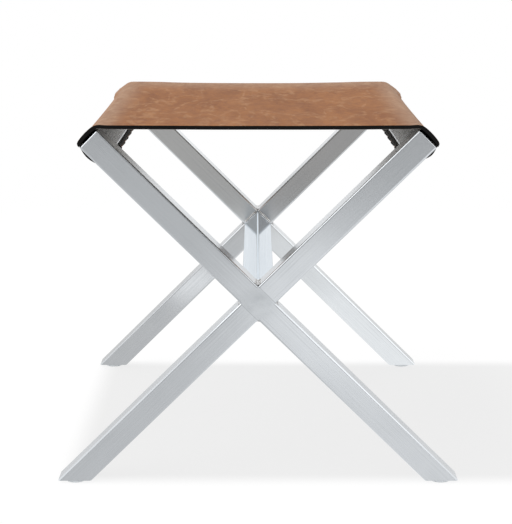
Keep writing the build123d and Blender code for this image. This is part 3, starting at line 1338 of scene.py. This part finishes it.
@dataclass
class CrossedFrames:
    """Crossed frames, rails, stretcher and small steel parts, which keep their CAD shapes."""

    middle: Vector
    ground: float = 24 * MM

    def dress_all(self) -> list[str]:
        """Gives each steel node its finish.

        Returns:
            The names of the dressed nodes.
        """
        long_front = BrushedStainless("long_front", Grain.DOWN_RIGHT, self.middle, self.ground)
        half_front = BrushedStainless("half_front", Grain.DOWN_LEFT, self.middle, butted=True)
        # In the rear frame the long leg is a little darker, as painted shade, and the half legs are
        # paler, as painted light: copies of the same steel
        long_rear_painted_shade = replace(
            long_front, name="long_rear_painted_shade", grain=Grain.DOWN_LEFT, pale="#DADDE0", dull="#B6BBBF"
        )
        half_rear_painted_light = replace(
            half_front, name="half_rear_painted_light", grain=Grain.DOWN_RIGHT, pale="#ECF0F3", dull="#CCD1D5"
        )
        lengthwise = BrushedStainless(
            "lengthwise", Grain.FRONT_TO_BACK, self.middle, roughness=(0.27, 0.36)
        ).make()
        # Tube polished bright: clear reflections with a faint haze along it
        polished = PatchySteel(
            "polished_stainless",
            "#E4EFF9",
            "#D6E4F0",
            (0.09, 0.18),
            patch=1.2 * MM,
            drawn_out=100,
            grain=Grain.FRONT_TO_BACK,
            detail=2.0,
        ).make()
        # Welds left as they were laid: small bright and burnt beads
        beady = replace(
            CLEANED_WELD, name="beady_weld", pale="#F6F7F8", dull="#3E3C3A", patch=3.2 * MM
        ).make()
        # Rolled hexagon bar: even grey steel with small dull patches
        nut = PatchySteel("plain_nut_steel", "#C2C4C5", "#979A9B", (0.22, 0.38)).make()
        # Steel blackened in hot salts: nearly black, half matt
        screw = PatchySteel("blackened_screw_steel", "#17181A", "#2A2A2B", (0.34, 0.50)).make()
        finishes = {
            "front_leg_long": long_front.make(),
            "rear_leg_long": long_rear_painted_shade.make(),
            "stretcher": polished,
            "crossing_welds": beady,
        }
        for end, finish in (("front", half_front.make()), ("rear", half_rear_painted_light.make())):
            finishes[f"{end}_leg_upper"] = finish
            finishes[f"{end}_leg_lower"] = finish
        for side in Side:
            finishes[f"{side.name.lower()}_rail"] = lengthwise
            finishes[f"{side.name.lower()}_rail_screws"] = screw
        for corner in CORNERS:
            finishes[f"{corner}_leg_cap"] = lengthwise
            finishes[f"{corner}_foot_plate"] = lengthwise
            finishes[f"{corner}_foot_nut"] = nut
        for name, finish in finishes.items():
            dress(bpy.data.objects[name], finish)
        return list(finishes)


@dataclass(frozen=True)
class Grade:
    """A level that goes from low to high along one axis, where each is a number or another grade."""

    axis: str
    start: float
    stop: float
    low: "float | Grade"
    high: "float | Grade"
    soft: bool = False

    def add_to(self, add: Adder) -> Socket:
        """Adds the level to a material.

        Args:
            add: Adds a node to the material.

        Returns:
            The level.
        """
        place = add("TexCoord", out="Object")
        inputs = {
            "Value": add("SeparateXYZ", {0: place}, self.axis),
            "From Min": self.start,
            "From Max": self.stop,
            "To Min": graded(self.low, add),
            "To Max": graded(self.high, add),
        }
        kind = "SMOOTHSTEP" if self.soft else "LINEAR"
        return add("MapRange", inputs, interpolation_type=kind)


def graded(level: float | Grade, add: Adder) -> float | Socket:
    """Gives a level that a node's input can take, whether or not it is a grade."""
    return level.add_to(add) if isinstance(level, Grade) else level


@dataclass(frozen=True)
class Card:
    """A glowing card beside the stool, which only the steel's reflections show.

    Where front says how much of the card there is, it is clear from behind.
    """

    name: str
    place: tuple[float, float, float]
    faces: tuple[float, float, float]
    size: tuple[float, float]
    glow: float | Grade
    front: float | Grade | None = None
    tint: str = "#FFFFFF"

    def stand(self) -> None:
        """Stands the card in its place."""
        clear_selection()
        bpy.ops.mesh.primitive_plane_add(size=1)
        card = bpy.context.object
        card.name = self.name
        turn = Vector(self.faces).normalized().to_track_quat("Z", "Y").to_matrix().to_4x4()
        size = Matrix.Diagonal((*self.size, 1, 1))
        card.data.transform(Matrix.Translation(self.place) @ turn @ size)
        for ray in ("camera", "diffuse", "shadow", "transmission"):
            setattr(card, f"visible_{ray}", False)
        material, shader, add = new_material(self.name)
        tree = material.node_tree
        tree.nodes.remove(shader)
        surface = add("Emission", {"Color": linear(self.tint), "Strength": graded(self.glow, add)})
        if self.front is not None:
            behind = add("NewGeometry", out="Backfacing")
            inputs = {0: graded(self.front, add), 1: behind}
            share = add("Math", inputs, operation="SUBTRACT", use_clamp=True)
            clear = add("BsdfTransparent")
            surface = add("MixShader", {0: share, 1: clear, 2: surface})
        fill(tree.nodes["Material Output"], {"Surface": surface})
        dress(card, material)


@dataclass
class Studio:
    """White room: pale floor, soft light from the upper left, cards for the steel, and the camera."""

    camera_place: Vector
    camera_turn: Euler
    lens: float = 92.30
    sensor: float = 36.0
    floor_half: float = 4.0
    floor_plain: float = 1.0
    floor_gone: float = 1.7
    floor_light: float = 0.85
    floor_white: float = 0.92
    room_light: float = 0.72
    sun_strength: float = 0.75
    sun_angle: float = math.radians(60)
    sun_from: tuple[float, float, float] = (-0.72, -0.25, 0.65)
    # A painted shadow on the floor: the pale even shade that the seat would leave under a broad lamp
    painted_shadow_x: tuple[float, float] = (-0.262, 0.80)
    painted_shadow_y: tuple[float, float] = (-0.262, 0.262)
    painted_shadow_level: float = 0.89
    open_level: float = 1.06
    painted_shadow_soft: float = 45 * MM
    painted_shadow_fade: float = 500 * MM
    # Cards on the floor lie this high
    card_height: float = 0.6 * MM

    def world(self) -> None:
        """Makes a room that looks white and lights the stool evenly."""
        world = bpy.data.worlds.new("white_room")
        world.use_nodes = True
        bpy.context.scene.world = world
        add = partial(add_node, world.node_tree)
        inputs = {"Value": self.seen_rays(add), "To Min": self.room_light, "To Max": 1.0}
        level = add("MapRange", inputs)
        fill(world.node_tree.nodes["Background"], {"Color": linear("#FFFFFF"), "Strength": level})

    @staticmethod
    def seen_rays(add: Adder) -> Socket:
        """Says which rays show a surface rather than light it.

        Args:
            add: Adds a node to the material or world.

        Returns:
            1 for rays from the camera, from reflections and through clear things.
        """
        rays = add("LightPath").node.outputs
        seen = rays["Is Camera Ray"]
        for kind in ("Is Glossy Ray", "Is Transmission Ray"):
            seen = add("Math", {0: seen, 1: rays[kind]}, operation="MAXIMUM")
        return seen

    def floor(self) -> None:
        """Lays a white floor that keeps the stool's own shadows and a pale painted shadow, and runs
        out into the white of the room.
        """
        clear_selection()
        bpy.ops.mesh.primitive_plane_add(size=2 * self.floor_half)
        floor = bpy.context.object
        floor.name = "floor"
        material, shader, add = new_material("white_floor")
        tree = material.node_tree
        tree.nodes.remove(shader)
        place = add("TexCoord", out="Object")
        distance = add("VectorMath", {0: place}, "Value", operation="LENGTH")
        inputs = {"Value": distance, "From Min": self.floor_gone, "From Max": self.floor_plain}
        there = add("MapRange", inputs, interpolation_type="SMOOTHSTEP")
        matt = add("BsdfDiffuse", {"Color": (*[self.floor_white] * 3, 1)})
        # The floor's glow holds the painted shadow
        glow = add("Emission", {"Strength": graded(self.shade(), add)})
        seen = add("Math", {0: self.seen_rays(add), 1: self.floor_light}, operation="MULTIPLY")
        lit = add("MixShader", {0: seen, 1: matt, 2: glow})
        clear = add("BsdfTransparent")
        whole = add("MixShader", {0: there, 1: clear, 2: lit})
        fill(tree.nodes["Material Output"], {"Surface": whole})
        dress(floor, material)

    def shade(self) -> float | Grade:
        """Works out the floor's brightness, in and round the painted shadow.

        Returns:
            The brightness: a grade for each side of the painted shadow, one inside the other.
        """
        level: float | Grade = self.painted_shadow_level
        for axis, start, length in (
            ("Y", self.painted_shadow_y[1], -self.painted_shadow_soft),
            ("Y", self.painted_shadow_y[0], self.painted_shadow_soft),
            ("X", self.painted_shadow_x[1], -self.painted_shadow_fade),
            ("X", self.painted_shadow_x[0], self.painted_shadow_soft),
        ):
            level = Grade(axis, start, start + length, self.open_level, level, soft=True)
        return level

    def sun(self) -> None:
        """Hangs the soft main light."""
        data = bpy.data.lights.new("soft_sun", "SUN")
        data.energy = self.sun_strength
        data.angle = self.sun_angle
        sun = new_object("soft_sun", data)
        sun.visible_glossy = False
        sun.rotation_euler = Vector(self.sun_from).to_track_quat("Z", "Y").to_euler()

    def cards(self) -> list[Card]:
        """Lists the cards round the stool.

        Returns:
            The cards.
        """
        height = self.card_height
        up, to_back, to_front = (0, 0, 1), (0, 1, 0), (0, -1, 0)
        to_left, to_right = (-1, 0, 0), (1, 0, 0)
        # The front faces mirror the floor in front: brighter on the right, and near the feet
        right = Grade("Y", -0.5, -1.2, 0.80, 1.12)
        near = Grade("X", -0.17, 0.17, 0.63, right, soft=True)
        far = Grade("X", -0.3, 0.4, 0.57, 0.48)
        front_floor = Grade("Y", -1.1, -2.1, near, far, soft=True)
        # That card starts just before the legs and ends with the floor
        start, stop = -0.2505, -self.floor_half
        ahead = (0, (start + stop) / 2, height)
        # The toes and the rear feet mirror the floor under the stool: dimmer on the left
        under = Grade("X", -0.12, 0.12, 0.66, 0.94, soft=True)
        toes = Grade("X", -0.27, -0.245, 0.76, Grade("X", 0.245, 0.27, under, 0.76))
        # The upper side faces mirror the back, brightest at the height of the stretcher
        rising = Grade("Z", 0.04, 0.2, 0.7, 0.97)
        back = Grade("Z", 0.25, 0.33, rising, 0.55)
        high_up = Grade("Z", 0.12, 0.18, 0.0, 1.0, soft=True)
        made = [
            Card("front_floor_card", ahead, up, (4.0, start - stop), front_floor),
            Card("dark_room_card", (0, -4.2, 0.9), to_back, (6.0, 1.8), 0.3),
            Card("dark_right_card", (1.2, -0.5, 1.9), to_left, (3.6, 1.5), 0.05),
            Card("bright_right_card", (1.2, -0.5, 0.8), to_left, (3.6, 0.6), 1.25),
            Card("bright_left_card", (-1.2, -0.4, 1.36), to_right, (1.4, 0.88), 1.8),
            Card("back_floor_card", (0, 1.65, height), up, (6.0, 2.7), 0.7),
            Card("back_card", (0, 3.0, 0.2), to_front, (6.0, 0.4), back),
            # Behind the front frame, for the rear legs only: dim high up, bright low on the left
            Card("inner_card", (0, -0.2, 0.27), to_back, (0.6, 0.34), 0.41, high_up, "#FFFBF7"),
            Card("glow_card", (-0.115, -0.2, 0.03), to_back, (0.11, 0.06), 1.2, 1.0),
            Card("under_card", (0, 0.025, height), up, (1.4, 0.55), toes),
        ]
        for side in Side:
            x, y, z = 1.9 * side.value, 2.0, 1.7
            name = f"dark_back_card_{side.name.lower()}"
            made.append(Card(name, (x, y, z), (-x, -y, -z), (1.6, 1.2), 0.3))
        return made

    def camera(self) -> None:
        """Stands the camera where the photograph was taken from."""
        data = bpy.data.cameras.new("camera")
        data.lens = self.lens
        data.sensor_width = self.sensor
        camera = new_object("camera", data)
        camera.location = self.camera_place
        camera.rotation_euler = self.camera_turn
        bpy.context.scene.camera = camera

    def set_up(self) -> None:
        """Puts everything in the room."""
        self.world()
        self.floor()
        self.sun()
        for card in self.cards():
            card.stand()
        self.camera()
        bpy.context.scene.view_settings.view_transform = "Standard"


def main() -> None:
    """Builds and dresses the stool in order."""
    logging.basicConfig(level=logging.INFO, format="%(name)s: %(message)s")
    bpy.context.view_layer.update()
    rail_low, rail_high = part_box("right_rail")
    _, seat_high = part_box("seat_leather")
    bar_low, bar_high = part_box("stretcher")
    rail = (rail_low + rail_high) / 2
    middle = (bar_low + bar_high) / 2

    dressed = CrossedFrames(middle).dress_all()
    log.info("steel nodes dressed: %s", ", ".join(dressed))
    sling = SlingSeat(rail=rail, top=seat_high.z, half_length=seat_high.y).place()
    log.info("seat: %s, %d faces", sling.name, len(sling.data.polygons))
    for piece in WeldBeads(middle=middle, inner_y=bar_high.y, rail=rail).place():
        log.info("weld: %s, %d faces", piece.name, len(piece.data.polygons))
    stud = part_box("front_left_glide_stud")
    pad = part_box("front_left_glide_pad")
    for piece in LevellingGlides(*stud, *pad).place():
        log.info("glide: %s, %d faces", piece.name, len(piece.data.polygons))
    Studio(
        camera_place=Vector((-0.0026, -1.8206, 0.6630)),
        camera_turn=Euler((math.radians(76.473), 0, 0)),
    ).set_up()


if __name__ == "__main__":
    main()
